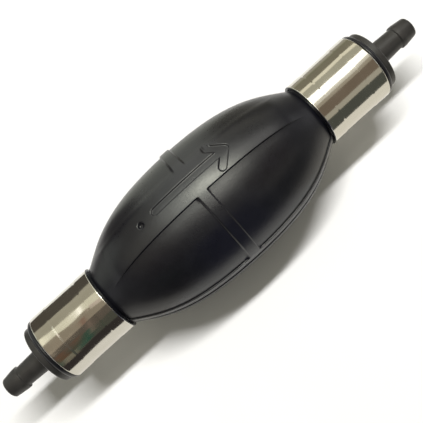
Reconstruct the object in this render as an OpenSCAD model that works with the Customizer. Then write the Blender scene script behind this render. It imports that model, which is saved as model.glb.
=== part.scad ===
// Squeeze bulb pump for siphoning and priming, with a one-way valve in each end.
// Millimetres. +X is the flow and the way the arrow points, +Z is the side that carries the arrow,
// z = 0 is the mould's parting plane, and the origin is the middle of the bulb on its flow axis.

/* [Bulb] */
// Diameter of the belly between the ribs
belly_d = 44.6; // [40:0.1:52]
// Length of bare rubber between the two ferrules
bulb_l = 87.4; // [80:0.2:110]
// Diameter of the bulb where it meets the lips
neck_d = 21.4; // [19:0.1:22.4]
// Thickness of the rubber wall
wall_t = 3; // [2:0.1:3.6]
// How far the rib, the pad and the strips stand proud
relief = 0.5; // [0.3:0.05:0.8]
// Width of the rib round the belly
rib_w = 3.7; // [2:0.1:6]
// Width of the pad that carries the arrow
pad_w = 12; // [11.4:0.1:16]
// How far the middle of the pad lies beside the crown
pad_y = 2.6; // [-4:0.1:4]
// Height of the strip on each side of the parting line, at the belly
strip_h = 3.4; // [2:0.1:5]
// Height of the strip where it meets the lips
strip_end_h = 1; // [0.8:0.1:2]
// Width of the groove along the parting line
groove_w = 0.5; // [0.2:0.1:1]
// Depth of the groove along the parting line
groove_depth = 0.3; // [0.1:0.05:0.5]
// Width of the lip at the mouth of each ferrule
lip_w = 0.5; // [0.4:0.1:2]
// How far the lip stands over the ferrule
lip_proud = 0.2; // [0.1:0.05:0.8]
// Width of the rubber rim outside each ferrule
rim_w = 1.5; // [1:0.1:3]
// Diameter of the rubber rim outside each ferrule
rim_d = 23.5; // [22:0.1:26]
// Diameter of the rim where it meets the flange
rim_end_d = 21.8; // [20.6:0.1:22]

/* [Arrow] */
// Length of the arrow
arrow_l = 30.2; // [24:0.2:40]
// Width of the arrow's shaft
shaft_w = 2.4; // [1:0.1:3]
// Width of each leg of the arrow's head
leg_w = 2.5; // [1:0.1:3]
// Width across the arrow's head
head_w = 10.8; // [8:0.2:11]
// Angle between each leg and the shaft
leg_angle = 44; // [35:1:55]
// Depth of the arrow and of the gate mark
arrow_depth = 0.4; // [0.2:0.05:0.6]
// Diameter of the gate mark behind the arrow
gate_d = 1.6; // [0.6:0.1:2]
// Gap between the arrow's tail and the middle of the gate mark
gate_gap = 4.6; // [2:0.2:7]

/* [Squeeze] */
// Length of the wall area that yields under the hand
press_l = 56; // [48:0.5:62]
// Width of the wall area that yields under the hand
press_w = 24; // [18:0.5:28]
// Slit round each yielding area
press_gap = 0.3; // [0.2:0.05:0.5]

/* [Ferrules] */
// Outer diameter of the crimped ferrule
ferrule_d = 23.9; // [22.6:0.1:28]
// Length of the ferrule
ferrule_l = 23.8; // [22:0.1:32]
// Thickness of the ferrule's sheet metal
ferrule_t = 0.5; // [0.3:0.05:0.8]
// Distance from the ferrule's mouth to the crimped stretch
crimp_start = 5.4; // [3:0.1:8]
// Length of the crimped stretch
crimp_l = 11.8; // [6:0.1:13]
// Depth of the crimp
crimp_depth = 0.12; // [0.05:0.01:0.3]
// Length of the slope at each end of the crimp
crimp_slope = 0.6; // [0.3:0.1:1]
// How far the outer edge is rolled in
roll = 0.5; // [0.2:0.1:0.8]

/* [Hose fittings] */
// Diameter of the flange
flange_d = 21.1; // [18:0.1:21.6]
// Thickness of the flange
flange_t = 2.1; // [1:0.1:3]
// Rounding of the flange's edge
flange_round = 0.5; // [0.2:0.1:0.8]
// Diameter of the stem where it leaves the flange
stem_root_d = 8.2; // [7:0.1:9]
// Diameter of the stem behind the barb
stem_d = 7.2; // [6.4:0.1:7.6]
// Length of the stem from the flange to the barb
stem_l = 10.2; // [8:0.1:20]
// Diameter of the barb
barb_d = 8.2; // [7.7:0.1:10]
// Length of the slope from the stem up to the barb
barb_back = 0.4; // [0.1:0.1:0.8]
// Length of the barb's cylindrical land
barb_land = 1.2; // [1:0.1:3]
// Length of the taper in front of the land
barb_taper = 3.7; // [2:0.1:8]
// Diameter where the taper meets the rounded tip
tip_d = 7; // [6.6:0.1:7.4]
// Rounding of the tip
tip_round = 1; // [0.3:0.1:1.1]
// Diameter of the fluid bore
bore_d = 4.6; // [3:0.1:4.8]
// Diameter of the spigot inside the rubber neck
spigot_d = 16.4; // [15.8:0.1:17.2]
// Height of the spigot's holding ridges
ridge_h = 0.5; // [0.2:0.05:0.8]
// Length of each ridge
ridge_l = 2.6; // [1.5:0.1:4]
// Number of ridges
ridge_count = 3; // [2:1:3]
// Distance from one ridge to the next
ridge_pitch = 5.6; // [4.5:0.1:6]
// Distance from the ferrule's mouth to the spigot's end
spigot_inset = 2.7; // [1:0.1:4]

/* [Valve cartridges] */
// Diameter of the valve cartridge
valve_d = 13; // [12.6:0.1:13.2]
// Length of the valve cartridge
valve_l = 12; // [12:0.1:13]
// Thickness of the cartridge wall
valve_wall = 1.5; // [1:0.1:1.6]
// Thickness of the seat
seat_t = 3.2; // [3:0.1:4]
// Diameter of the seat's port
port_d = 6; // [5.6:0.1:6.8]
// Diameter of the poppet's disc
disc_d = 8; // [7.8:0.1:8.6]
// Thickness of the poppet's disc
disc_t = 1.2; // [0.8:0.1:1.6]
// Thickness of the poppet's seal
seal_t = 0.8; // [0.5:0.1:1]
// Diameter of the neck that the seal is held on
nose_d = 4.4; // [4:0.1:4.6]
// How far the nose's bead stands out over its neck
bead_h = 0.3; // [0.1:0.05:0.4]
// Length of the nose's bead
bead_l = 0.7; // [0.4:0.1:1]
// Diameter of the poppet's guide stem
guide_d = 2; // [1.6:0.1:2.2]
// How far the poppet lifts
lift = 2.1; // [1:0.1:2.2]
// Diameter of the stop boss behind the disc
boss_d = 3.6; // [3:0.1:3.8]
// Diameter of the cage's hub
hub_d = 3.8; // [3.4:0.1:4]
// Length of the cage's hub
hub_l = 3.2; // [2.6:0.1:3.4]
// Thickness of the cage's rim and spokes
cage_t = 2; // [1.2:0.1:2.4]
// Width of the cage's rim
cage_rim = 0.8; // [0.5:0.1:1]
// Width of each spoke
spoke_w = 1; // [0.6:0.1:1.4]
// Number of spokes
spoke_count = 3; // [3:1:5]
// Diameter of the O-ring's cord
cord_d = 1.1; // [0.8:0.05:1.4]
// Distance from the seat's face to the O-ring's groove
cord_inset = 0.7; // [0.5:0.1:1]
// Thickness of the retaining ring
ring_t = 1.2; // [0.8:0.1:1.5]
// Depth of the retaining ring's groove
ring_groove = 0.4; // [0.2:0.05:0.6]
// Radial width of the retaining ring
ring_w = 1.7; // [1.2:0.1:2]
// Angle of the retaining ring's opening
ring_open = 50; // [30:5:70]
// Wall in front of the retaining ring's groove
ring_lip = 0.8; // [0.5:0.1:1.2]

/* [Valve springs] */
// Wire diameter
wire_d = 0.5; // [0.3:0.05:0.6]
// Mean diameter of the coils
coil_d = 5; // [4.8:0.1:5.6]
// Number of turns
coil_turns = 4; // [3:0.5:4]

/* [Passages] */
// Diameter of the passage between the valve and the fluid bore
throat_d = 8.8; // [8:0.1:9]
// Length of the passage before it narrows
throat_l = 5; // [2:0.1:6]
// Length over which the passage narrows
throat_cone = 5.5; // [2:0.1:6]

/* [Clearances] */
// Radial running clearance of the guide stem
guide_gap = 0.05; // [0.01:0.01:0.1]
// Gap between a closed seal and its seat
seal_gap = 0.05; // [0.02:0.01:0.1]
// Gap at each end of a spring, and behind the nose's bead
end_gap = 0.05; // [0.02:0.01:0.1]
// Space left at the stop when a poppet is fully open
stop_gap = 0.1; // [0.05:0.05:0.3]

/* [Hidden] */
$fn = 96;

rubber_colour = [0.11, 0.11, 0.12];
chrome_colour = [0.82, 0.81, 0.79];
fitting_colour = [0.22, 0.21, 0.20];
valve_colour = [0.88, 0.87, 0.82];
seal_colour = [0.16, 0.14, 0.13];
steel_colour = [0.68, 0.69, 0.70];

// The belly falls away to the neck by a sum of three powers of the distance from the middle.
fall = [[2, 0.484], [4, 0.621], [12, -0.105]];
profile_steps = 16;
// The skin over the pads sinks between these two shares of the way to the neck.
fade_from = 0.62;
fade_to = 0.93;
overlap = 1;

ferrule_x = bulb_l / 2;
ferrule_end = ferrule_x + ferrule_l;
flange_x = ferrule_end + rim_w;
stem_x = flange_x + flange_t;
barb_x = stem_x + stem_l;
taper_x = barb_x + barb_land;
tip_x = taper_x + barb_taper + tip_round;
spigot_x = ferrule_x + spigot_inset;
ring_x = spigot_x + ring_lip;
valve_x = ring_x + ring_t;
floor_x = valve_x + valve_l;
neck_x = ferrule_x - lip_w;
lip_r = ferrule_d / 2 + lip_proud;

disc_x = seat_t + seal_gap + seal_t;
boss_x = disc_x + disc_t;
hub_x = valve_l - hub_l;
boss_end = hub_x - lift - stop_gap;
guide_end = valve_l - end_gap;
cage_x = valve_l - cage_t;
cage_r = valve_d / 2 - valve_wall;

// Share of the fall from the belly to the lips at x, and the rubber's radius there.
function share(x) = min(1, abs(x) / neck_x);
function drop(s) = fall[0][1] * pow(s, fall[0][0]) + fall[1][1] * pow(s, fall[1][0])
    + fall[2][1] * pow(s, fall[2][0]);
function skin_r(x) = belly_d / 2 - (belly_d - neck_d) / 2 * drop(share(x));
function strip_z(x) = strip_h - (strip_h - strip_end_h) * drop(share(x));
function ease(t) = t * t * (3 - 2 * t);
function fade(x) = 1 - ease(max(0, min(1, (share(x) - fade_from) / (fade_to - fade_from))));
profile = [for (i = [-profile_steps : profile_steps]) neck_x * i / profile_steps];
function skin_line(extra, fading) = [for (x = profile)
    [skin_r(x) + extra * (fading ? fade(x) : 1), x]];

// Turns a list of [radius, x] points about the flow axis.
module turned(points) {
    rotate([0, 90, 0])
        rotate_extrude()
            polygon(points);
}

module tube(r_in, r_out, x0, x1) {
    turned([[r_in, x0], [r_out, x0], [r_out, x1], [r_in, x1]]);
}

module solid_of(line) {
    turned(concat([[0, -neck_x]], line, [[0, neck_x]]));
}

// Solid of the rubber's outer skin, raised by extra.
module skin(extra, fading) {
    solid_of(skin_line(extra, fading));
}

function ferrule_line(inward) = [
    [ferrule_d / 2 - inward, ferrule_x],
    [ferrule_d / 2 - inward, ferrule_x + crimp_start - crimp_slope],
    [ferrule_d / 2 - inward - crimp_depth, ferrule_x + crimp_start],
    [ferrule_d / 2 - inward - crimp_depth, ferrule_x + crimp_start + crimp_l],
    [ferrule_d / 2 - inward, ferrule_x + crimp_start + crimp_l + crimp_slope],
    [ferrule_d / 2 - inward, ferrule_end - roll],
    [ferrule_d / 2 - inward - roll / 2, ferrule_end - roll / 4],
    [ferrule_d / 2 - inward - roll, ferrule_end]];

// Outline of the spigot, from its inner end to the flange, with ridges that grip the rubber.
function spigot_line() = concat([[spigot_d / 2, spigot_x]],
    [for (i = [0 : ridge_count - 1], p = [[0, 0], [ridge_h, ridge_l], [0, ridge_l]])
        [spigot_d / 2 + p[0], valve_x + i * ridge_pitch + p[1]]],
    [[spigot_d / 2, flange_x]]);

// Rounded edge or tip: quarter circle of radius r that ends at [radius, x].
function round_end(radius, x, r) = [for (a = [0 : 15 : 90])
    [radius - r + r * cos(a), x - r + r * sin(a)]];

module both_ends() {
    children();
    mirror([1, 0, 0])
        children();
}

module outlet_neck() {
    line = ferrule_line(ferrule_t);
    turned(concat([[0, neck_x - overlap], [neck_d / 2, neck_x - overlap], [neck_d / 2, neck_x],
        [lip_r, neck_x], [lip_r, ferrule_x]], line,
        [[rim_d / 2, ferrule_end], [rim_end_d / 2, flange_x], [0, flange_x]]));
}

module bulb_cavity() {
    solid_of([for (p = skin_line(-wall_t, false)) [max(spigot_d / 2, p[0]), p[1]]]);
    both_ends()
        turned(concat([[0, neck_x - overlap], [spigot_d / 2, neck_x - overlap]], spigot_line(),
            [[spigot_d / 2, flange_x + overlap], [0, flange_x + overlap]]));
}

// The band of space over the pad on one side of the parting plane.
module pad_block() {
    translate([-neck_x, pad_y - pad_w / 2, 0])
        cube([2 * neck_x, pad_w, belly_d]);
}

// The band of space on both sides of the parting plane, which narrows towards the lips.
module strip_block() {
    rotate([90, 0, 0])
        linear_extrude(2 * belly_d, center = true)
            polygon(concat([for (x = profile) [x, strip_z(x)]], [for (x = profile) [-x, -strip_z(x)]]));
}

// Rib, strips and pads are cut from one raised skin, and the pads sink into the belly towards the
// necks.
module raised_parts() {
    intersection() {
        skin(relief, false);
        union() {
            cube([rib_w, 2 * belly_d, 2 * belly_d], center = true);
            strip_block();
            intersection() {
                skin(2 * relief, true);
                for (turn = [0, 180])
                    rotate([turn, 0, 0])
                        pad_block();
            }
        }
    }
}

module parting_groove() {
    difference() {
        translate([-neck_x, -belly_d, -groove_w / 2])
            cube([2 * neck_x, 2 * belly_d, groove_w]);
        skin(relief - groove_depth, false);
    }
}

// Straight stroke of width w with round ends, from the origin along an angle.
module stroke(angle, reach, w) {
    circle(d = w);
    rotate(angle)
        translate([reach, 0])
            circle(d = w);
    rotate(angle)
        translate([0, -w / 2])
            square([reach, w]);
}

// Shaft and two legs, whose strokes meet at the head's point, and the gate mark behind the tail.
module arrow_outline() {
    point = arrow_l / 2 - leg_w / 2;
    translate([point, 0]) {
        for (side = [-1, 1])
            stroke(side * (180 - leg_angle), (head_w - leg_w) / 2 / sin(leg_angle), leg_w);
        stroke(180, arrow_l - (leg_w + shaft_w) / 2, shaft_w);
    }
    translate([-arrow_l / 2 - gate_gap, 0])
        circle(d = gate_d);
}

module arrow_recess() {
    difference() {
        translate([0, pad_y, 0])
            linear_extrude(belly_d)
                arrow_outline();
        skin(relief - arrow_depth, true);
    }
}

module rubber() {
    difference() {
        union() {
            skin(0, false);
            raised_parts();
            both_ends()
                outlet_neck();
        }
        bulb_cavity();
        parting_groove();
        arrow_recess();
    }
}

// Column through the wall with the outline of a yielding area, grown by margin.
module press_column(margin) {
    flat_l = press_l - press_w;
    linear_extrude(belly_d) {
        square([flat_l, press_w + 2 * margin], center = true);
        for (side = [-1, 1])
            translate([side * flat_l / 2, 0])
                circle(d = press_w + 2 * margin);
    }
}

module bulb() {
    color(rubber_colour)
        difference() {
            rubber();
            for (turn = [0, 180])
                rotate([turn, 0, 0])
                    press_column(press_gap);
        }
}

module upper_wall() {
    color(rubber_colour)
        intersection() {
            rubber();
            press_column(0);
        }
}

module lower_wall() {
    color(rubber_colour)
        intersection() {
            rubber();
            rotate([180, 0, 0])
                press_column(0);
        }
}

module ferrule() {
    inner = ferrule_line(ferrule_t);
    color(chrome_colour)
        turned(concat(ferrule_line(0), [for (i = [len(inner) - 1 : -1 : 0]) inner[i]]));
}

module fitting() {
    valve_r = valve_d / 2;
    color(fitting_colour)
        turned(concat([[valve_r, spigot_x]], spigot_line(), [[flange_d / 2, flange_x]],
            round_end(flange_d / 2, stem_x, flange_round),
            [[stem_root_d / 2, stem_x], [stem_d / 2, barb_x - barb_back], [barb_d / 2, barb_x],
            [barb_d / 2, taper_x]],
            round_end(tip_d / 2, tip_x, tip_round),
            [[bore_d / 2, tip_x], [bore_d / 2, floor_x + throat_l + throat_cone],
            [throat_d / 2, floor_x + throat_l], [throat_d / 2, floor_x], [valve_r, floor_x],
            [valve_r, valve_x], [valve_r + ring_groove, valve_x], [valve_r + ring_groove, ring_x],
            [valve_r, ring_x]]));
}

module retaining_ring() {
    outer = valve_d / 2 + ring_groove;
    color(valve_colour)
        difference() {
            tube(outer - ring_w, outer, ring_x, valve_x);
            rotate([0, 90, 0])
                rotate([0, 0, -ring_open / 2])
                    rotate_extrude(angle = ring_open)
                        translate([0, ring_x - overlap])
                            square([outer + overlap, ring_t + 2 * overlap]);
        }
}

// The valve cartridge's pieces lie along +X from the seat's upstream face at x = 0.
module valve_seat() {
    outer = valve_d / 2;
    groove = outer - cord_d;
    groove_end = cord_inset + cord_d + 2 * end_gap;
    color(valve_colour)
        turned([[port_d / 2, 0], [outer, 0], [outer, cord_inset], [groove, cord_inset],
            [groove, groove_end], [outer, groove_end], [outer, valve_l], [cage_r, valve_l],
            [cage_r, seat_t], [port_d / 2, seat_t]]);
}

module o_ring() {
    color(seal_colour)
        rotate([0, 90, 0])
            rotate_extrude()
                translate([valve_d / 2 - cord_d / 2, cord_inset + cord_d / 2 + end_gap])
                    circle(d = cord_d, $fn = 32);
}

module valve_cage() {
    color(valve_colour)
        difference() {
            union() {
                tube(cage_r - cage_rim, cage_r, cage_x, valve_l);
                tube(0, hub_d / 2, hub_x, valve_l);
                for (i = [0 : spoke_count - 1])
                    rotate([i * 360 / spoke_count, 0, 0])
                        translate([cage_x, -spoke_w / 2, 0])
                            cube([cage_t, spoke_w, cage_r - cage_rim / 2]);
            }
            tube(0, guide_d / 2 + guide_gap, hub_x - overlap, valve_l + overlap);
        }
}

module poppet() {
    seal_back = seat_t + seal_gap - end_gap;
    bead_r = nose_d / 2 + bead_h;
    color(valve_colour)
        turned([[0, seal_back - bead_l], [bead_r, seal_back - bead_l], [bead_r, seal_back],
            [nose_d / 2, seal_back], [nose_d / 2, disc_x], [disc_d / 2, disc_x],
            [disc_d / 2, boss_x], [boss_d / 2, boss_x], [boss_d / 2, boss_end],
            [guide_d / 2, boss_end], [guide_d / 2, guide_end], [0, guide_end]]);
}

module poppet_seal() {
    color(seal_colour)
        tube(nose_d / 2, disc_d / 2, seat_t + seal_gap, disc_x);
}

// Round wire swept along a helix about the flow axis, from the disc's back to the cage.
module valve_spring() {
    sides = 8;
    steps = 20;
    rings = ceil(coil_turns * steps);
    start = boss_x + end_gap + wire_d / 2;
    travel = cage_x - end_gap - wire_d / 2 - start;
    slope = atan2(travel / coil_turns, PI * coil_d);
    points = [for (i = [0 : rings], j = [0 : sides - 1])
        let (a = 360 * coil_turns * i / rings,
            b = 360 * j / sides,
            r = coil_d / 2 + wire_d / 2 * cos(b),
            side = wire_d / 2 * sin(b))
        [start + travel * i / rings + side * cos(slope),
            r * cos(a) + side * sin(slope) * sin(a),
            r * sin(a) - side * sin(slope) * cos(a)]];
    walls = [for (i = [0 : rings - 1], j = [0 : sides - 1])
        let (k = (j + 1) % sides)
        [i * sides + j, (i + 1) * sides + j, (i + 1) * sides + k, i * sides + k]];
    caps = [[for (j = [0 : sides - 1]) j], [for (j = [sides - 1 : -1 : 0]) rings * sides + j]];
    color(steel_colour)
        polyhedron(points, concat(walls, caps), convexity = 10);
}

module at_inlet() {
    translate([-floor_x, 0, 0])
        children();
}

module at_outlet() {
    translate([valve_x, 0, 0])
        children();
}

bulb();
upper_wall();
lower_wall();
mirror([1, 0, 0]) ferrule();  // inlet_ferrule
mirror([1, 0, 0]) fitting();  // inlet_fitting
at_inlet() valve_seat();  // inlet_valve_seat
at_inlet() valve_cage();  // inlet_valve_cage
at_inlet() poppet();  // inlet_poppet
at_inlet() poppet_seal();  // inlet_poppet_seal
at_inlet() valve_spring();  // inlet_valve_spring
at_inlet() o_ring();  // inlet_o_ring
mirror([1, 0, 0]) retaining_ring();  // inlet_retaining_ring
ferrule();  // outlet_ferrule
fitting();  // outlet_fitting
at_outlet() valve_seat();  // outlet_valve_seat
at_outlet() valve_cage();  // outlet_valve_cage
at_outlet() poppet();  // outlet_poppet
at_outlet() poppet_seal();  // outlet_poppet_seal
at_outlet() valve_spring();  // outlet_valve_spring
at_outlet() o_ring();  // outlet_o_ring
retaining_ring();  // outlet_retaining_ring
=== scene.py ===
import math

import bmesh
import bpy
from mathutils import Matrix, Vector


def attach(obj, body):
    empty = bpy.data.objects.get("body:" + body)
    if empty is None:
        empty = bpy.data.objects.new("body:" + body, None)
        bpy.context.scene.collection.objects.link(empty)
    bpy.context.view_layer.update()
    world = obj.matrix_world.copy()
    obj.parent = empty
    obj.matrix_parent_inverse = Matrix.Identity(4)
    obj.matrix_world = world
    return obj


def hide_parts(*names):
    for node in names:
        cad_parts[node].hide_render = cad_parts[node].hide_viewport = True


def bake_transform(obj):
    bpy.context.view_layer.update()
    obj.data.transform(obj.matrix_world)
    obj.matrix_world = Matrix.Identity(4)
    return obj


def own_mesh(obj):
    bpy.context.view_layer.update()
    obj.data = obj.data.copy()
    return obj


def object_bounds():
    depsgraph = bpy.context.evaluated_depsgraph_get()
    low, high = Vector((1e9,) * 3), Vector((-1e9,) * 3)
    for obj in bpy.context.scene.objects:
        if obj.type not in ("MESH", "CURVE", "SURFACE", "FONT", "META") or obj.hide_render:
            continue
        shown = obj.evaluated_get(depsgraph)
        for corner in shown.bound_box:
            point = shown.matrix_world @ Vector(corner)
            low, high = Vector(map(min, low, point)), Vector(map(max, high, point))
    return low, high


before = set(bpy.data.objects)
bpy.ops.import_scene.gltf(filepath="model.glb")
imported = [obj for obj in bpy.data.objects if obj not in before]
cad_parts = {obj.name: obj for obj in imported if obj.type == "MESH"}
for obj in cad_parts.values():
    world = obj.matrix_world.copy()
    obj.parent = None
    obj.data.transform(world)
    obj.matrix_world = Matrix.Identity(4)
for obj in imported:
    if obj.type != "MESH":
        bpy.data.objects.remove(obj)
cad_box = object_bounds()
scene = bpy.context.scene

MM = 0.001

# ---------------------------------------------------------------- sizes of the pump
# In millimetres and degrees, with x from the bulb's middle towards either end. They are the
# solids' own sizes, apart from a few that differ a little: the strips' ends, the groove's width,
# the depths of the arrow and the crimp lines, the gate mark and the lips.

BELLY_R, NECK_R, NECK_X, WALL, NECK_BORE_R = 22.3, 10.7, 43.2, 3.0, 8.2
# Powers of x, as a share of the half length, and how much each adds to the fall of the profile.
PROFILE = ((2, 0.484), (4, 0.621), (12, -0.105))
RELIEF, RIB_W = 0.5, 3.7
STRIP_H, STRIP_END_H = 3.4, 2.5
PAD_FROM, PAD_TO = -3.4, 8.6
# The pad fades out between these shares of the half length.
FADE_FROM, FADE_TO = 0.62, 0.93
GROOVE_ABOVE, GROOVE_BELOW, GROOVE_DEPTH, GROOVE_NARROWING = 1.2, 0.4, 0.3, 0.88
ARROW_Y, ARROW_L, ARROW_DEPTH = 2.6, 30.2, 0.45
SHAFT_W, LEG_W, HEAD_W, LEG_ANGLE = 2.4, 2.5, 10.8, 44.0
GATE_D, GATE_GAP, GATE_DEPTH = 1.8, 4.6, 0.9

FERRULE_X, FERRULE_END, FERRULE_R, FERRULE_T = 43.7, 67.5, 11.95, 0.5
CRIMP_FROM, CRIMP_TO, CRIMP_SLOPE, CRIMP_DEPTH, CRIMP_ROUND = 49.1, 60.9, 0.6, 0.1, 0.5
ROLL, ROLL_L, ROLL_H = 0.5, 0.3, 0.75
LIP_R, LIP_W, LIP_ROUND = 11.95, 0.25, 0.08
RIM_R, RIM_END_R, RIM_TAPER_L, RIM_TAPER_H = 11.75, 10.9, 0.6, 0.2
NECK_GAP, RIM_GAP, NECK_OVERLAP = 0.05, 0.03, 1.0

FLANGE_X, FLANGE_R, FLANGE_T = 69.0, 10.55, 2.1
STEM_ROOT_R, STEM_R = 4.1, 3.6
BARB_X, BARB_BACK, BARB_R = 81.3, 0.4, 4.1
TAPER_X, TIP_X, TIP_R, TIP_DROP = 82.5, 87.2, 3.5, 0.04
BORE_R, THROAT_R, THROAT_L, THROAT_CONE = 2.3, 4.4, 5.0, 5.5
SPIGOT_X, RIDGE_H, RIDGE_L, RIDGE_PITCH, RIDGES = 46.4, 0.5, 2.6, 5.6, 3
VALVE_X, VALVE_R, VALVE_L, RING_X, RING_GROOVE = 48.4, 6.5, 12.0, 47.2, 0.4

# The spring's ends are measured along +X from its valve seat, which is at one of the last two.
SPRING_FROM, SPRING_TO, COIL_R, WIRE_D, TURNS, LIFT = 5.30, 9.95, 2.5, 0.5, 4.0, 2.1
INLET_SEAT_X, OUTLET_SEAT_X = -60.4, 48.4

# Widths of soft edges on the bulb, and how far one raised form runs into the next.
RIB_SOFT_INLET, RIB_SOFT_OUTLET = 0.65, 0.35
PAD_SOFT_NEAR, PAD_SOFT_FAR, STRIP_SOFT = 0.3, 3.5, 0.1
RIB_INTO_PAD, INTO_STRIP = 2.2, 8
GROOVE_SOFT, ARROW_SOFT, GATE_SOFT = 0.08, 0.3, 0.8

# ---------------------------------------------------------------- fineness of the meshes

FILLET_STEPS, FILLET_GUARD = 4, 0.04
SLEEVE_SIDES, FITTING_SIDES, NECK_SIDES = 192, 144, 72
SHARP, BULB_SHARP, WIRE_SHARP = 35, 72, 60
SPRING_POINTS, WIRE_SIDES = 145, 12
# Points that are closer than this many metres become one.
MERGED_BELOW = 0.000004
# Rows on each stretch of a bulb half from one parting line to the other, before and after the
# rows on the pad, and how far the stretches end from the edges of the pad, groove and strip.
ROWS_BEFORE_PAD, ROWS_AFTER_PAD = (8, 2, 6, 16, 5), (6, 7, 6, 2, 8)
PAD_NEAR_EDGE, PAD_FAR_EDGE = 0.2, 1.8
GROOVE_MARGIN, STRIP_MARGIN = 0.1, 0.12

# ---------------------------------------------------------------- camera, lamp and painted reflections of a room
# Lengths are in metres and angles in degrees, unless the name says otherwise.

CAMERA_TILT, CAMERA_LEAN, CAMERA_ROLL = 19.5, 1.3, 42.28
CAMERA_DISTANCE, AIM_ACROSS, AIM_ALONG = 0.215, -0.0011, -0.00144
LENS_MM, SENSOR_MM = 56.6, 36.0
LAMP_PLACE, LAMP_L, LAMP_W, LAMP_POWER = (0.31, 0.28, 1.6), 1.3, 0.12, 28.4
FLOOR_HALF = 3.0
CARD_R, NEAR_CARD_R, CARD_STEPS = 0.17, 0.165, 8
PAINTED_FLOOR_LIFT = 0.0003
BEHIND, IN_FRONT, NEAR_FLOOR = (0.068, 0.17), (-0.17, -0.088), (-0.088, -0.0125)

# Painted reflections of a room: glowing cards that only reflections show, with no lamp behind them.
# The lamp and window cards paint highlights, and the dark ones, such as the dark floor, the shade
# and the dark room, paint shade. Lengths of the room along the pump and the cards in each: name,
# first and last angle, colour. Reflections in the outlet's sleeve, the bulb and the inlet's sleeve
# show one length each.
PAINTED_ROOM_REFLECTIONS = (
    ("outlet", 0.045, 0.22, (
        ("shelf edge", 100, 108, (0.42, 0.40, 0.33)),
        ("shelf", 92, 100, (0.36, 0.34, 0.26)),
        ("shelf gap", 84, 92, (0.24, 0.23, 0.16)),
        ("cupboard", 59, 84, (0.25, 0.23, 0.17)),
        ("window", 47, 59, (1.0, 0.95, 0.76)),
        ("wall", 22, 47, (0.50, 0.48, 0.38)),
        ("lamp", 0, 22, (2.4, 2.35, 2.2)),
        ("ceiling", -10, 0, (0.80, 0.76, 0.66)),
        ("shade", -20, -10, (0.42, 0.37, 0.29)),
        ("maker", -50, -20, (0.205, 0.16, 0.12)),
        ("wall in front", -66, -50, (0.47, 0.44, 0.36)),
        ("dark floor", -98, -66, (0.090, 0.094, 0.080)))),
    ("middle", -0.045, 0.045, (
        ("bright room", 72, 98, (0.9, 0.92, 0.8)),
        ("wall", 30, 72, (1.27, 1.3, 1.15)),
        ("lamp", -8, 30, (3.75, 3.85, 3.45)),
        ("ceiling", -22, -8, (1.5, 1.45, 1.3)),
        ("maker", -48, -22, (0.35, 0.33, 0.30)),
        ("dark floor", -98, -48, (0.08, 0.085, 0.16)))),
    ("inlet", -0.22, -0.045, (
        ("dark room", 60, 98, (0.095, 0.083, 0.068)),
        ("window", 47, 60, (0.46, 0.43, 0.34)),
        ("wall", 22, 47, (0.44, 0.41, 0.32)),
        ("lamp", 2, 22, (0.85, 0.81, 0.64)),
        ("ceiling", -26, 2, (0.35, 0.30, 0.23)),
        ("maker", -52, -26, (0.125, 0.105, 0.085)),
        ("grey cloth", -78, -52, (0.085, 0.085, 0.068)),
        ("dark floor", -98, -78, (0.040, 0.034, 0.032)))),
    ("far outlet", 0.22, 0.6, (("room", -98, 108, (0.2, 0.19, 0.17)),)),
    ("far inlet", -0.6, -0.22, (("room", -98, 108, (0.12, 0.11, 0.10)),)))

# Smaller painted highlights and reflections, glowing cards hung a little closer: name, first and
# last angle, colour, and place along x.
SMALL_PAINTED_REFLECTIONS = (
    ("window glare", 3, 20, (18.8, 19.0, 16.2), 0.002, 0.027),
    ("narrow glare", -2, 11, (26.8, 27.0, 23.0), 0.026, 0.046),
    ("bright wall", 24, 75, (1.7, 1.7, 1.55), 0.0, 0.045),
    ("pale wall", 42, 95, (0.7, 0.72, 0.64), -0.6, -0.135),
    ("bright ceiling", -22, -2, (4.0, 3.9, 3.5), 0.010, 0.045),
    ("bright lamp", 4, 20, (1.9, 1.85, 1.7), -0.094, -0.087),
    ("second lamp", 4, 26, (1.3, 1.25, 1.0), -0.114, -0.106),
    ("third lamp", -6, 4, (0.7, 0.6, 0.5), -0.080, -0.045),
    ("red box", -26, -8, (0.27, 0.15, 0.11), -0.095, -0.088),
    ("brown box", -62, -40, (0.17, 0.085, 0.05), -0.111, -0.104),
    ("lit box", -36, -20, (0.75, 0.62, 0.48), -0.111, -0.109),
    ("green bag", -77, -50, (0.040, 0.100, 0.070), -0.124, -0.112),
    ("green box", -75, -45, (0.025, 0.090, 0.062), -0.100, -0.089),
    ("folded cloth", -80, -62, (0.34, 0.29, 0.22), -0.108, -0.103),
    ("loose cloth", -62, -28, (0.28, 0.21, 0.17), -0.089, -0.085))


# ---------------------------------------------------------------- numbers inside node trees

class Field:
    """A number inside a node tree that adds, multiplies and divides like a plain number."""

    def __init__(self, tree, socket):
        self.tree, self.socket = tree, socket

    def math(self, operation, *values, clamp=False):
        made = self.tree.nodes.new("ShaderNodeMath")
        made.operation, made.use_clamp = operation, clamp
        for slot, value in zip(made.inputs, (self, *values)):
            if isinstance(value, Field):
                self.tree.links.new(value.socket, slot)
            else:
                slot.default_value = value
        return Field(self.tree, made.outputs[0])

    def __add__(self, other):
        return self.math("ADD", other)

    def __sub__(self, other):
        return self.math("SUBTRACT", other)

    def __rsub__(self, other):
        return self * -1 + other

    def __mul__(self, other):
        return self.math("MULTIPLY", other)

    def __truediv__(self, other):
        return self.math("DIVIDE", other)

    def __abs__(self):
        return self.math("ABSOLUTE")

    def eased(self):
        """Smooth step from 0 to 1 of a number that is cut to that range."""
        t = self.math("ADD", 0, clamp=True)
        return t * t * (t * -2 + 3)

    __radd__, __rmul__ = __add__, __mul__


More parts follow.
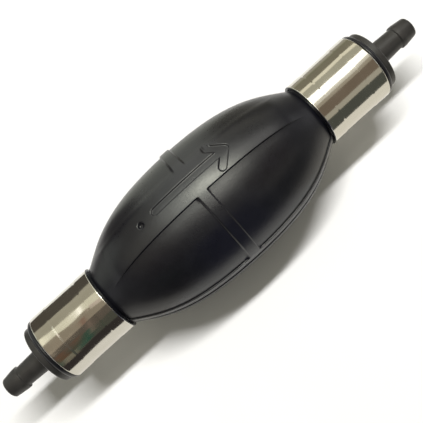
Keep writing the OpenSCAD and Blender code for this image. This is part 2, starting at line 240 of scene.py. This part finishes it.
def node(tree, kind, **inputs):
    """Node with its inputs linked to sockets or fields, or set to plain values."""
    made = tree.nodes.new(kind)
    for label, value in inputs.items():
        slot = made.inputs[label.replace("_", " ")]
        if isinstance(value, Field):
            value = value.socket
        if isinstance(value, bpy.types.NodeSocket):
            tree.links.new(value, slot)
        else:
            slot.default_value = value
    return made


def place_of(tree, x, y, z):
    """Vector of three fields."""
    place = tree.nodes.new("ShaderNodeCombineXYZ")
    for slot, value in zip(place.inputs, (x, y, z)):
        tree.links.new(value.socket, slot)
    return place.outputs[0]


# ---------------------------------------------------------------- materials

def material_tree(name):
    material = bpy.data.materials.new(name)
    material.use_nodes = True
    tree = material.node_tree
    return material, tree, tree.nodes["Principled BSDF"]


def noise(tree, scale, detail=2.0, roughness=0.5, stretch=(1, 1, 1)):
    """Noise on Object coordinates. Scale is in waves per metre, stretch multiplies each axis."""
    place = tree.nodes.new("ShaderNodeTexCoord").outputs["Object"]
    stretched = node(tree, "ShaderNodeMapping", Vector=place, Scale=stretch)
    texture = node(tree, "ShaderNodeTexNoise", Vector=stretched.outputs[0], Scale=scale,
                   Detail=detail, Roughness=roughness)
    return Field(tree, texture.outputs["Fac"])


def between(tree, share, low, high):
    """Number from low to high as share goes from 0.3 to 0.7, where most noise lies."""
    made = node(tree, "ShaderNodeMapRange", Value=share, From_Min=0.3, From_Max=0.7,
                To_Min=low, To_Max=high)
    return Field(tree, made.outputs["Result"])


def colour_mix(tree, factor, low, high):
    """Colour from low to high, each a socket or three numbers."""
    made = node(tree, "ShaderNodeMix", Factor=factor)
    made.data_type = "RGBA"
    # Inputs 6 and 7 and output 2 are the ones for colours.
    for slot, colour in zip(made.inputs[6:8], (low, high)):
        if isinstance(colour, bpy.types.NodeSocket):
            tree.links.new(colour, slot)
        else:
            slot.default_value = (*colour, 1)
    return made.outputs[2]


def colour_between(tree, share, low, high):
    return colour_mix(tree, between(tree, share, 0.0, 1.0), low, high)


def coated(tree, shader, share, low, high, smoothest, roughest):
    """Base colour and roughness that both follow one noise."""
    tree.links.new(colour_between(tree, share, low, high), shader.inputs["Base Color"])
    tree.links.new(between(tree, share, smoothest, roughest).socket, shader.inputs["Roughness"])


def bumped(tree, shader, *layers):
    """Stacks bumps on a shader. Each layer is (height, distance in metres, strength)."""
    normal = None
    for height, distance, strength in layers:
        bump = node(tree, "ShaderNodeBump", Height=height, Distance=distance, Strength=strength)
        if normal:
            tree.links.new(normal, bump.inputs["Normal"])
        normal = bump.outputs["Normal"]
    tree.links.new(normal, shader.inputs["Normal"])


def moulded_rubber():
    material, tree, shader = material_tree("moulded black rubber")
    blotch = noise(tree, 55, 3.0, 0.55)
    grain = noise(tree, 1400)
    bloom = noise(tree, 240, 4.0, 0.65)
    tree.links.new(colour_between(tree, bloom, (0.0035, 0.0036, 0.0062), (0.0065, 0.0067, 0.0100)),
                   shader.inputs["Base Color"])
    rough = between(tree, blotch, 0.28, 0.36) + between(tree, grain, -0.03, 0.03)
    tree.links.new(rough.socket, shader.inputs["Roughness"])
    bumped(tree, shader, (blotch, 0.0004, 0.25), (grain, 0.00003, 0.5))
    return material


def chrome_plate(name, dents):
    """Thin plated sheet, never quite flat. Dents sets how far its waves turn a reflection."""
    material, tree, shader = material_tree(name)
    shader.inputs["Metallic"].default_value = 1.0
    haze = noise(tree, 160, 3.0, 0.6)
    coated(tree, shader, haze, (0.64, 0.62, 0.56), (0.68, 0.66, 0.60), 0.09, 0.14)
    bumped(tree, shader, (noise(tree, 90, 1.0, 0.4, (0.6, 1, 1)), 0.0004, dents))
    return material


def charcoal_plastic():
    material, tree, shader = material_tree("charcoal fitting plastic")
    cloud = noise(tree, 160, 3.0)
    coated(tree, shader, cloud, (0.021, 0.020, 0.019), (0.034, 0.032, 0.030), 0.36, 0.46)
    bumped(tree, shader, (cloud, 0.0001, 0.15), (noise(tree, 1800), 0.000015, 0.3))
    return material


def natural_acetal():
    material, tree, shader = material_tree("natural acetal")
    coated(tree, shader, noise(tree, 220), (0.76, 0.75, 0.70), (0.82, 0.81, 0.76), 0.36, 0.46)
    bumped(tree, shader, (noise(tree, 2600), 0.00001, 0.25))
    return material


def nitrile_rubber():
    material, tree, shader = material_tree("nitrile rubber")
    cloud = noise(tree, 500, 3.0)
    coated(tree, shader, cloud, (0.030, 0.028, 0.026), (0.052, 0.047, 0.042), 0.55, 0.68)
    bumped(tree, shader, (noise(tree, 3000), 0.00001, 0.3))
    return material


def spring_wire():
    material, tree, shader = material_tree("drawn spring wire")
    shader.inputs["Metallic"].default_value = 1.0
    draw = noise(tree, 1500, 3.0, 0.6)
    coated(tree, shader, draw, (0.54, 0.54, 0.55), (0.66, 0.66, 0.67), 0.20, 0.32)
    bumped(tree, shader, (draw, 0.00001, 0.3))
    return material


# ---------------------------------------------------------------- turned pieces

def filleted(corners):
    """Closed outline of (x, radius) points. A corner given as (x, radius, fillet) is rounded.
    A point close to each end of the arc keeps the faces beside it flat when they are shaded."""
    outline = []
    for i, (x, radius, *rounding) in enumerate(corners):
        here = Vector((x, radius))
        if not rounding:
            outline.append(here)
            continue
        fillet = rounding[0]
        back = (Vector(corners[i - 1][:2]) - here).normalized()
        ahead = (Vector(corners[(i + 1) % len(corners)][:2]) - here).normalized()
        half = back.angle(ahead) / 2
        reach = fillet / math.tan(half)
        start, end = here + back * reach, here + ahead * reach
        centre = here + (back + ahead).normalized() * (fillet / math.sin(half))
        outline.append(start + back * fillet * FILLET_GUARD)
        for step in range(FILLET_STEPS + 1):
            arm = (start - centre).lerp(end - centre, step / FILLET_STEPS).normalized()
            outline.append(centre + arm * fillet)
        outline.append(end + ahead * fillet * FILLET_GUARD)
    return outline


def turn_into(bm, outline, sides, side, first=0.0, last=360.0):
    """Turns a closed outline in millimetres about the flow axis, from angle first to last.
    Side is 1 at the outlet and -1 at the inlet, where x changes sign."""
    whole = last - first >= 360
    rings = []
    for step in range(sides if whole else sides + 1):
        angle = math.radians(first + (last - first) * step / sides)
        rings.append([bm.verts.new((side * x * MM, r * math.sin(angle) * MM,
                                    r * math.cos(angle) * MM)) for x, r in outline])
    for near, far in zip(rings, rings[1:] + rings[:1] if whole else rings[1:]):
        for i in range(len(outline)):
            j = (i + 1) % len(outline)
            bm.faces.new((near[i], near[j], far[j], far[i]))
    if not whole:
        bm.faces.new(rings[0])
        bm.faces.new(rings[-1])


def smoothed(mesh, sharp):
    """Smooth shading, broken at edges that are sharper than this angle."""
    mesh.polygons.foreach_set("use_smooth", [True] * len(mesh.polygons))
    mesh.set_sharp_from_angle(angle=math.radians(sharp))


def finished(bm, name, material):
    """Object made from a bmesh, with outward faces, smooth shading and its sharp edges marked."""
    bmesh.ops.recalc_face_normals(bm, faces=bm.faces)
    mesh = bpy.data.meshes.new(name)
    bm.to_mesh(mesh)
    bm.free()
    mesh.materials.append(material)
    smoothed(mesh, SHARP)
    piece = bpy.data.objects.new(name, mesh)
    scene.collection.objects.link(piece)
    return piece


def turned_piece(name, outline, material, side, sides):
    bm = bmesh.new()
    turn_into(bm, outline, sides, side)
    return finished(bm, name, material)


def neck_outline():
    """Rubber from the shoulder out: the lip at the ferrule's mouth, the neck and the rim."""
    inner = FERRULE_R - FERRULE_T - NECK_GAP
    root_x = NECK_X - NECK_OVERLAP
    lip_x = FERRULE_X - LIP_W
    return filleted([
        (root_x, NECK_BORE_R), (root_x, NECK_R), (lip_x, NECK_R - NECK_GAP),
        (lip_x, LIP_R, LIP_ROUND), (FERRULE_X, LIP_R, LIP_ROUND), (FERRULE_X, inner),
        (FERRULE_END - 1, inner), (FERRULE_END, inner - ROLL),
        (FERRULE_END + RIM_GAP, RIM_R, 0.3), (FLANGE_X - RIM_TAPER_L, RIM_R - RIM_TAPER_H, 0.4),
        (FLANGE_X, RIM_END_R, 0.15), (FLANGE_X, NECK_BORE_R)])


def ferrule_outline():
    """Drawn sleeve with a curled mouth, two crimp lines and an end that is rolled inwards."""
    inner = FERRULE_R - FERRULE_T
    crimps = ((CRIMP_FROM - CRIMP_SLOPE, 0), (CRIMP_FROM, CRIMP_DEPTH),
              (CRIMP_TO, CRIMP_DEPTH), (CRIMP_TO + CRIMP_SLOPE, 0))
    return filleted([
        (FERRULE_X, inner, 0.1), (FERRULE_X, FERRULE_R, 0.22),
        *[(x, FERRULE_R - depth, CRIMP_ROUND) for x, depth in crimps],
        (FERRULE_END - ROLL_L, FERRULE_R, 0.5), (FERRULE_END, FERRULE_R - ROLL_H, 0.2),
        (FERRULE_END, inner - ROLL, 0.1), (FERRULE_END - ROLL, inner),
        *[(x, inner - depth) for x, depth in reversed(crimps)]])


def fitting_outline():
    """Spigot with its grip ridges, flange, stem, barb and bore of one end fitting."""
    ridges = []
    for i in range(RIDGES):
        x = VALVE_X + i * RIDGE_PITCH
        ridges += [(x, NECK_BORE_R), (x + RIDGE_L, NECK_BORE_R + RIDGE_H, 0.12),
                   (x + RIDGE_L, NECK_BORE_R)]
    floor_x = VALVE_X + VALVE_L
    stem_x = FLANGE_X + FLANGE_T
    return filleted([
        (SPIGOT_X, VALVE_R), (SPIGOT_X, NECK_BORE_R, 0.3), *ridges,
        (FLANGE_X, NECK_BORE_R), (FLANGE_X, FLANGE_R, 0.3), (stem_x, FLANGE_R, 0.5),
        (stem_x, STEM_ROOT_R, 0.35), (BARB_X - BARB_BACK, STEM_R, 0.2), (BARB_X, BARB_R, 0.12),
        (TAPER_X, BARB_R, 2.0), (TIP_X, TIP_R - TIP_DROP, 0.9), (TIP_X, BORE_R, 0.2),
        (floor_x + THROAT_L + THROAT_CONE, BORE_R), (floor_x + THROAT_L, THROAT_R),
        (floor_x, THROAT_R), (floor_x, VALVE_R), (VALVE_X, VALVE_R),
        (VALVE_X, VALVE_R + RING_GROOVE), (RING_X, VALVE_R + RING_GROOVE), (RING_X, VALVE_R)])


# ---------------------------------------------------------------- pieces made by node trees

def new_tree(name, sizes):
    """Geometry tree with one named input for each size, and those inputs as fields."""
    tree = bpy.data.node_groups.new(name, "GeometryNodeTree")
    tree.is_modifier = True
    for label, value in sizes.items():
        kind = "NodeSocketInt" if isinstance(value, int) else "NodeSocketFloat"
        socket = tree.interface.new_socket(label, in_out="INPUT", socket_type=kind)
        socket.default_value = value
    tree.interface.new_socket("Geometry", in_out="OUTPUT", socket_type="NodeSocketGeometry")
    source = tree.nodes.new("NodeGroupInput")
    return tree, {label: Field(tree, source.outputs[label]) for label in sizes}


def end_tree(tree, geometry, material):
    real = node(tree, "GeometryNodeRealizeInstances", Geometry=geometry)
    painted = node(tree, "GeometryNodeSetMaterial", Geometry=real.outputs[0], Material=material)
    sink = tree.nodes.new("NodeGroupOutput")
    tree.links.new(painted.outputs[0], sink.inputs[0])


def grown(tree, sizes, name):
    """Plain mesh object that a tree makes with these sizes."""
    holder = bpy.data.objects.new(name, bpy.data.meshes.new(name))
    scene.collection.objects.link(holder)
    modifier = holder.modifiers.new("tree", "NODES")
    modifier.node_group = tree
    for item in tree.interface.items_tree:
        if item.in_out == "INPUT":
            modifier[item.identifier] = sizes[item.name]
    ready = holder.evaluated_get(bpy.context.evaluated_depsgraph_get())
    mesh = bpy.data.meshes.new_from_object(ready)
    holder.modifiers.remove(modifier)
    holder.data = mesh
    mesh.name = name
    return holder


def stops(index, start, spans):
    """Place of a row or column that is reached from start by spans of (steps, place at its end)."""
    place, first, last_stop = start, 0, start
    for steps, stop in spans:
        share = (index - first).math("DIVIDE", steps, clamp=True)
        place = share * (stop - last_stop) + place
        first, last_stop = first + steps, stop
    return place


def bulb_half_sizes(arrow_depth, gate_depth, groove, fine_x, fine_columns, side_columns, pad_rows):
    """Inputs of the bulb's tree. Columns lie closer together inside the two ends of fine_x."""
    return {
        "Belly radius": BELLY_R, "Neck radius": NECK_R, "Half length": NECK_X,
        "Wall": WALL, "Neck bore radius": NECK_BORE_R, "Relief": RELIEF, "Rib width": RIB_W,
        "Strip height": STRIP_H, "Strip end height": STRIP_END_H,
        "Pad from": PAD_FROM, "Pad to": PAD_TO,
        "Groove half width": groove, "Groove depth": GROOVE_DEPTH,
        "Arrow depth": arrow_depth, "Arrow middle": ARROW_Y, "Arrow length": ARROW_L,
        "Shaft width": SHAFT_W, "Leg width": LEG_W, "Head width": HEAD_W,
        "Gate diameter": GATE_D, "Gate gap": GATE_GAP, "Gate depth": gate_depth,
        "Fine from": fine_x[0], "Fine to": fine_x[1], "Fine columns": fine_columns,
        "Side columns": side_columns, "Pad rows": pad_rows,
    }


UPPER_SIZES = bulb_half_sizes(ARROW_DEPTH, GATE_DEPTH, GROOVE_ABOVE, (-21.6, 16.4), 236, 42, 64)
LOWER_SIZES = bulb_half_sizes(0.0, 0.0, GROOVE_BELOW, (-2.8, 2.8), 36, 62, 14)


def raised(distance, soft):
    """1 inside an outline and 0 outside, with a soft edge of that width."""
    return (distance / soft + 0.5).eased()


def arrow_distance(size, a, b):
    """Distances from the arrow's and the gate mark's outlines at (a, b), less than 0 inside."""
    half = size["Arrow length"] * 0.5
    slope = math.radians(LEG_ANGLE)
    side = abs(b)
    shaft_r = size["Shaft width"] * 0.5
    leg_r = size["Leg width"] * 0.5
    point = half - leg_r
    off_shaft = a - a.math("MAXIMUM", shaft_r - half).math("MINIMUM", point)
    shaft = (off_shaft * off_shaft + side * side).math("SQRT") - shaft_r
    reach = (size["Head width"] - size["Leg width"]) * (0.5 / math.sin(slope))
    along = (point - a) * math.cos(slope) + side * math.sin(slope)
    across = (point - a) * math.sin(slope) - side * math.cos(slope)
    off_leg = along - along.math("MAXIMUM", 0).math("MINIMUM", reach)
    leg = (off_leg * off_leg + across * across).math("SQRT") - leg_r
    from_gate = a + half + size["Gate gap"]
    gate = (from_gate * from_gate + side * side).math("SQRT") - size["Gate diameter"] * 0.5
    return shaft.math("MINIMUM", leg), gate


def outer_radius(size, x, y, z, share, skin, strip_z, groove_half):
    """Outside of the bulb: its plain skin with rib, pad, strip, groove, arrow and gate mark."""
    # The rib runs into the pad and the strips with rounded corners, more so at its inlet side.
    rib_soft = RIB_SOFT_INLET - x.math("GREATER_THAN", 0) * (RIB_SOFT_INLET - RIB_SOFT_OUTLET)
    rib = (size["Rib width"] * 0.5 - abs(x)) / rib_soft
    pad = ((y - size["Pad from"]) / PAD_SOFT_NEAR).math(
        "MINIMUM", (size["Pad to"] - y) / PAD_SOFT_FAR)
    # The limit goes from 1.5 to -0.5, where the pad is level with the skin.
    faded = ((share - FADE_FROM) / (FADE_TO - FADE_FROM)).eased()
    pad = pad.math("MINIMUM", 1.5 - faded * 2)
    strip = (strip_z - z) / STRIP_SOFT
    band = rib.math("SMOOTH_MAX", pad, RIB_INTO_PAD).math("SMOOTH_MAX", strip, INTO_STRIP)
    height = size["Relief"] * (band + 0.5).eased()
    groove = size["Groove depth"] * raised(groove_half - z, GROOVE_SOFT)
    arrow, gate = arrow_distance(size, x, y - size["Arrow middle"])
    sunk = (size["Arrow depth"] * raised(arrow * -1, ARROW_SOFT)).math(
        "MAXIMUM", size["Gate depth"] * raised(gate * -1, GATE_SOFT))
    return skin + height - groove - sunk


def bulb_half_tree(material):
    """One half of the bulb, above the parting plane: a grid that is wrapped round its wall."""
    tree, size = new_tree("bulb half", UPPER_SIZES)
    columns = size["Fine columns"] + size["Side columns"] * 2 + 3
    steps = size["Pad rows"] + sum(ROWS_BEFORE_PAD + ROWS_AFTER_PAD)
    grid = node(tree, "GeometryNodeMeshGrid", Size_X=columns - 1, Size_Y=steps * 2 + 2,
                Vertices_X=columns, Vertices_Y=steps * 2 + 3)
    at = tree.nodes.new("ShaderNodeSeparateXYZ")
    tree.links.new(tree.nodes.new("GeometryNodeInputPosition").outputs[0], at.inputs[0])
    column = (Field(tree, at.outputs["X"]) + (columns - 1) * 0.5).math("ROUND")
    turn = (Field(tree, at.outputs["Y"]) + (steps + 1)).math("ROUND")

    # Rows 0 to steps run round the outside and the next ones back round the inside. The last row
    # lies on row 0 again. The first and the last column close the ends.
    not_last = turn.math("LESS_THAN", steps * 2 + 1.5)
    inside = turn.math("GREATER_THAN", steps + 0.5) * not_last
    back = steps * 2 + 1 - turn
    row = (turn + inside * (back - turn)) * not_last

    end = size["Half length"]
    x = stops(column - 1, end * -1, [(size["Side columns"], size["Fine from"]),
                                     (size["Fine columns"], size["Fine to"]),
                                     (size["Side columns"], end)])
    share = abs(x) / end
    fall = sum(share.math("POWER", power) * part for power, part in PROFILE)
    skin = size["Belly radius"] - (size["Belly radius"] - size["Neck radius"]) * fall
    top = skin + size["Relief"]
    strip_z = size["Strip height"] - (size["Strip height"] - size["Strip end height"]) * fall
    groove_half = size["Groove half width"] * (1 - fall * GROOVE_NARROWING)

    def at_height(z):
        return (z / top).math("ARCCOSINE")

    def at_side(y):
        return (y / top).math("ARCSINE")

    groove_edge = at_height(groove_half + GROOVE_MARGIN)
    strip_low = at_height(strip_z - STRIP_MARGIN)
    strip_high = at_height(strip_z + STRIP_MARGIN)
    angle = stops(row, at_side(top * -1), [
        *zip(ROWS_BEFORE_PAD, (groove_edge * -1, strip_low * -1, strip_high * -1,
                               at_side(size["Pad from"] - PAD_NEAR_EDGE),
                               at_side(size["Pad from"] + PAD_NEAR_EDGE))),
        (size["Pad rows"], at_side(size["Pad to"] - PAD_FAR_EDGE)),
        *zip(ROWS_AFTER_PAD, (at_side(size["Pad to"] + PAD_FAR_EDGE), strip_high, strip_low,
                              groove_edge, math.pi / 2))])
    sine, cosine = angle.math("SINE"), angle.math("COSINE")

    outer = outer_radius(size, x, top * sine, top * cosine, share, skin, strip_z, groove_half)
    inner = (skin - size["Wall"]).math("MAXIMUM", size["Neck bore radius"])
    capped = column.math("LESS_THAN", 0.5).math(
        "MAXIMUM", column.math("GREATER_THAN", columns - 1.5))
    radius = outer + inside.math("MAXIMUM", capped) * (inner - outer)
    shaped = node(tree, "GeometryNodeSetPosition", Geometry=grid.outputs["Mesh"],
                  Position=place_of(tree, x * MM, radius * sine * MM, radius * cosine * MM))
    closed = node(tree, "GeometryNodeMergeByDistance", Geometry=shaped.outputs[0],
                  Distance=MERGED_BELOW)
    end_tree(tree, closed.outputs[0], material)
    return tree


def bulb_half(name, tree, sizes, flip, material):
    """Half of the bulb with its half of each neck. Flip turns it to the lower side."""
    piece = grown(tree, sizes, name)
    mesh = piece.data
    bm = bmesh.new()
    bm.from_mesh(mesh)
    for side in (1, -1):
        turn_into(bm, neck_outline(), NECK_SIDES, side, -90, 90)
    if flip:
        bmesh.ops.rotate(bm, cent=(0, 0, 0), matrix=Matrix.Rotation(math.pi, 3, "X"),
                         verts=bm.verts)
    bmesh.ops.recalc_face_normals(bm, faces=bm.faces)
    bm.to_mesh(mesh)
    bm.free()
    mesh.materials.clear()
    mesh.materials.append(material)
    mesh.polygons.foreach_set("material_index", [0] * len(mesh.polygons))
    smoothed(mesh, BULB_SHARP)
    return piece


SPRING_SIZES = {"Length": (SPRING_TO - SPRING_FROM - WIRE_D) * MM, "Coil radius": COIL_R * MM,
                "Wire radius": WIRE_D / 2 * MM, "Turns": TURNS, "Start": 0.0}
# Share of the spring's rise that is even. The rest is eased, which closes up the end turns.
EVEN_RISE = 0.35


def spring_tree(material):
    """Coil spring along X whose end turns lie close together."""
    tree, size = new_tree("valve spring", SPRING_SIZES)
    line = node(tree, "GeometryNodeCurvePrimitiveLine", End=(1, 0, 0))
    coil = node(tree, "GeometryNodeResampleCurve", Curve=line.outputs[0], Count=SPRING_POINTS)
    share = Field(tree, tree.nodes.new("GeometryNodeSplineParameter").outputs["Factor"])
    angle = share * size["Turns"] * (2 * math.pi)
    rise = share * EVEN_RISE + share.eased() * (1 - EVEN_RISE)
    place = place_of(tree, size["Start"] + rise * size["Length"],
                     angle.math("COSINE") * size["Coil radius"],
                     angle.math("SINE") * size["Coil radius"])
    wound = node(tree, "GeometryNodeSetPosition", Geometry=coil.outputs[0], Position=place)
    section = node(tree, "GeometryNodeCurvePrimitiveCircle", Resolution=WIRE_SIDES,
                   Radius=size["Wire radius"])
    wire = node(tree, "GeometryNodeCurveToMesh", Curve=wound.outputs[0],
                Profile_Curve=section.outputs["Curve"], Fill_Caps=True)
    end_tree(tree, wire.outputs[0], material)
    return tree


# ---------------------------------------------------------------- camera, floor, light and painted reflections

def place_camera():
    tilt, lean, roll = (math.radians(angle) for angle in (CAMERA_TILT, CAMERA_LEAN, CAMERA_ROLL))
    towards = Vector((-math.sin(lean), -math.sin(tilt) * math.cos(lean),
                      math.cos(tilt) * math.cos(lean)))
    along = Vector((0, math.cos(tilt), math.sin(tilt)))
    across = along.cross(towards)
    right = across * math.cos(roll) - along * math.sin(roll)
    up = across * math.sin(roll) + along * math.cos(roll)
    data = bpy.data.cameras.new("camera")
    data.lens, data.sensor_width = LENS_MM, SENSOR_MM
    camera = bpy.data.objects.new("camera", data)
    scene.collection.objects.link(camera)
    target = across * AIM_ACROSS + along * AIM_ALONG
    turn = Matrix((right, up, towards)).transposed().to_4x4()
    camera.matrix_world = Matrix.Translation(target + towards * CAMERA_DISTANCE) @ turn
    scene.camera = camera


def emitter(name, colour):
    material = bpy.data.materials.new(name)
    material.use_nodes = True
    tree = material.node_tree
    tree.nodes.clear()
    glow = node(tree, "ShaderNodeEmission", Color=(*colour, 1), Strength=1.0)
    node(tree, "ShaderNodeOutputMaterial", Surface=glow.outputs[0])
    return material


def hang(bm, name, colour):
    """Glowing sheet made from a bmesh that paints a reflection: only reflections show it."""
    sheet = finished(bm, name, emitter(name, colour))
    sheet.visible_camera = sheet.visible_diffuse = sheet.visible_shadow = False


def card(name, first, last, colour, x_from, x_to, radius):
    """Curved card over the pump that paints a reflection. Its angles go from overhead towards +Y.
    """
    bm = bmesh.new()
    rows = []
    for step in range(CARD_STEPS + 1):
        angle = math.radians(first + (last - first) * step / CARD_STEPS)
        y, z = radius * math.sin(angle), radius * math.cos(angle)
        rows.append((bm.verts.new((x_from, y, z)), bm.verts.new((x_to, y, z))))
    for near, far in zip(rows, rows[1:]):
        bm.faces.new((near[0], near[1], far[1], far[0]))
    hang(bm, name, colour)


def painted_floor_reflection(name, depth, colour, x_from, x_to):
    """Flat card just above the floor that paints a reflection of the floor. Depth holds its two
    edges along Y.
    """
    bm = bmesh.new()
    z = cad_box[0][2] + PAINTED_FLOOR_LIFT
    y_from, y_to = depth
    bm.faces.new([bm.verts.new((x, y, z)) for x, y in (
        (x_from, y_from), (x_to, y_from), (x_to, y_to), (x_from, y_to))])
    hang(bm, name, colour)


def shown(tree):
    """1 for what the camera, a reflection or a clear piece shows, and 0 for bounced light."""
    path = tree.nodes.new("ShaderNodeLightPath")
    return Field(tree, path.outputs["Is Camera Ray"]).math(
        "MAXIMUM", Field(tree, path.outputs["Is Glossy Ray"])).math(
        "MAXIMUM", Field(tree, path.outputs["Is Transmission Ray"]))


def make_floor():
    bm = bmesh.new()
    bmesh.ops.create_grid(bm, x_segments=1, y_segments=1, size=FLOOR_HALF)
    bmesh.ops.translate(bm, vec=(0, 0, cad_box[0][2]), verts=bm.verts)
    material, tree, shader = material_tree("pale floor")
    shader.inputs["Roughness"].default_value = 0.9
    cloud = noise(tree, 14)
    colour = colour_mix(tree, shown(tree),
                        colour_between(tree, cloud, (0.78, 0.77, 0.75), (0.80, 0.79, 0.77)),
                        colour_between(tree, cloud, (0.95, 0.945, 0.93), (0.97, 0.965, 0.955)))
    tree.links.new(colour, shader.inputs["Base Color"])
    finished(bm, "floor", material)


def make_painted_reflections():
    for zone, x_from, x_to, cards in PAINTED_ROOM_REFLECTIONS:
        for label, first, last, colour in cards:
            card(f"{zone} {label}", first, last, colour, x_from, x_to, CARD_R)
        # Painted reflections of the floor: behind in the colour of the first card, and in front in
        # the dark colour of the last, which paints shade.
        painted_floor_reflection(f"{zone} mat behind", BEHIND, cards[0][3], x_from, x_to)
        painted_floor_reflection(f"{zone} mat in front", IN_FRONT, cards[-1][3], x_from, x_to)
    # Pale sheets near the pump paint a lit floor into the reflections, over the floor's shadow
    # there.
    painted_floor_reflection("outlet near floor", NEAR_FLOOR, (0.90, 0.86, 0.76), 0.046, 0.2)
    painted_floor_reflection("inlet near floor", NEAR_FLOOR, (0.88, 0.85, 0.78), -0.2, -0.046)
    for thing in SMALL_PAINTED_REFLECTIONS:
        card(*thing, NEAR_CARD_R)


def hang_lamp():
    """Long lamp that faces the pump, with its long side along X."""
    data = bpy.data.lights.new("lamp", "AREA")
    data.shape, data.size, data.size_y = "RECTANGLE", LAMP_L, LAMP_W
    data.energy, data.color = LAMP_POWER, (1.0, 0.997, 0.99)
    lamp = bpy.data.objects.new("lamp", data)
    scene.collection.objects.link(lamp)
    lamp.location = LAMP_PLACE
    back = lamp.location.normalized()
    short_side = back.cross((1, 0, 0)).normalized()
    long_side = short_side.cross(back)
    lamp.rotation_euler = Matrix((long_side, short_side, back)).transposed().to_euler()
    lamp.visible_glossy = False


def light_world():
    """Soft warm light from all round, and plain white where the world itself shows."""
    world = bpy.data.worlds.new("studio")
    scene.world = world
    world.use_nodes = True
    tree = world.node_tree
    soft = tree.nodes["Background"]
    soft.inputs["Color"].default_value = (1.0, 0.975, 0.84, 1)
    soft.inputs["Strength"].default_value = 0.24
    white = node(tree, "ShaderNodeBackground", Color=(1, 1, 1, 1), Strength=1.0)
    mixed = tree.nodes.new("ShaderNodeMixShader")
    for slot, socket in zip(mixed.inputs, (shown(tree).socket, soft.outputs[0], white.outputs[0])):
        tree.links.new(socket, slot)
    tree.links.new(mixed.outputs[0], tree.nodes["World Output"].inputs["Surface"])


# ---------------------------------------------------------------- the pump

def make_bulb(material):
    tree = bulb_half_tree(material)
    for name, sizes, flip, wall in (("rubber_upper", UPPER_SIZES, False, "upper_wall"),
                                    ("rubber_lower", LOWER_SIZES, True, "lower_wall")):
        half = bulb_half(name, tree, sizes, flip, material)
        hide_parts("bulb", wall)
        up = -1 if flip else 1
        up * 0.012
        up * 0.0245
        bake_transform(half)


def make_ends(chrome, plastic):
    for port, side in (("inlet", -1), ("outlet", 1)):
        sleeve = turned_piece(f"{port}_crimped_sleeve", ferrule_outline(), chrome[port], side,
                              SLEEVE_SIDES)
        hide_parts(f"{port}_ferrule")
        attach(sleeve, "bulb_with_ends")
        barb = turned_piece(f"{port}_hose_fitting", fitting_outline(), plastic, side,
                            FITTING_SIDES)
        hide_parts(f"{port}_fitting")
        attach(barb, "bulb_with_ends")


def make_springs(material):
    tree = spring_tree(material)
    for port, seat_x in (("inlet", INLET_SEAT_X), ("outlet", OUTLET_SEAT_X)):
        start = (seat_x + SPRING_FROM + WIRE_D / 2) * MM
        spring = grown(tree, {**SPRING_SIZES, "Start": start}, f"{port}_spring_wire")
        smoothed(spring.data, WIRE_SHARP)
        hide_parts(f"{port}_valve_spring")
        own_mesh(spring)
        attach(spring, "bulb_with_ends")


def dress_valves():
    """Materials for the valve pieces, whose solids show as they are."""
    finishes = ((("seat", "cage", "poppet", "retaining_ring"), natural_acetal()),
                (("seal", "o_ring"), nitrile_rubber()))
    for label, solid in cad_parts.items():
        for endings, finish in finishes:
            if label.endswith(endings):
                solid.data.materials.clear()
                solid.data.materials.append(finish)


scene.view_settings.view_transform = "Standard"
place_camera()
make_floor()
make_painted_reflections()
hang_lamp()
light_world()

make_bulb(moulded_rubber())
make_ends({"outlet": chrome_plate("chrome plate", 0.7),
           "inlet": chrome_plate("dented chrome plate", 1.7)}, charcoal_plastic())
make_springs(spring_wire())
dress_valves()
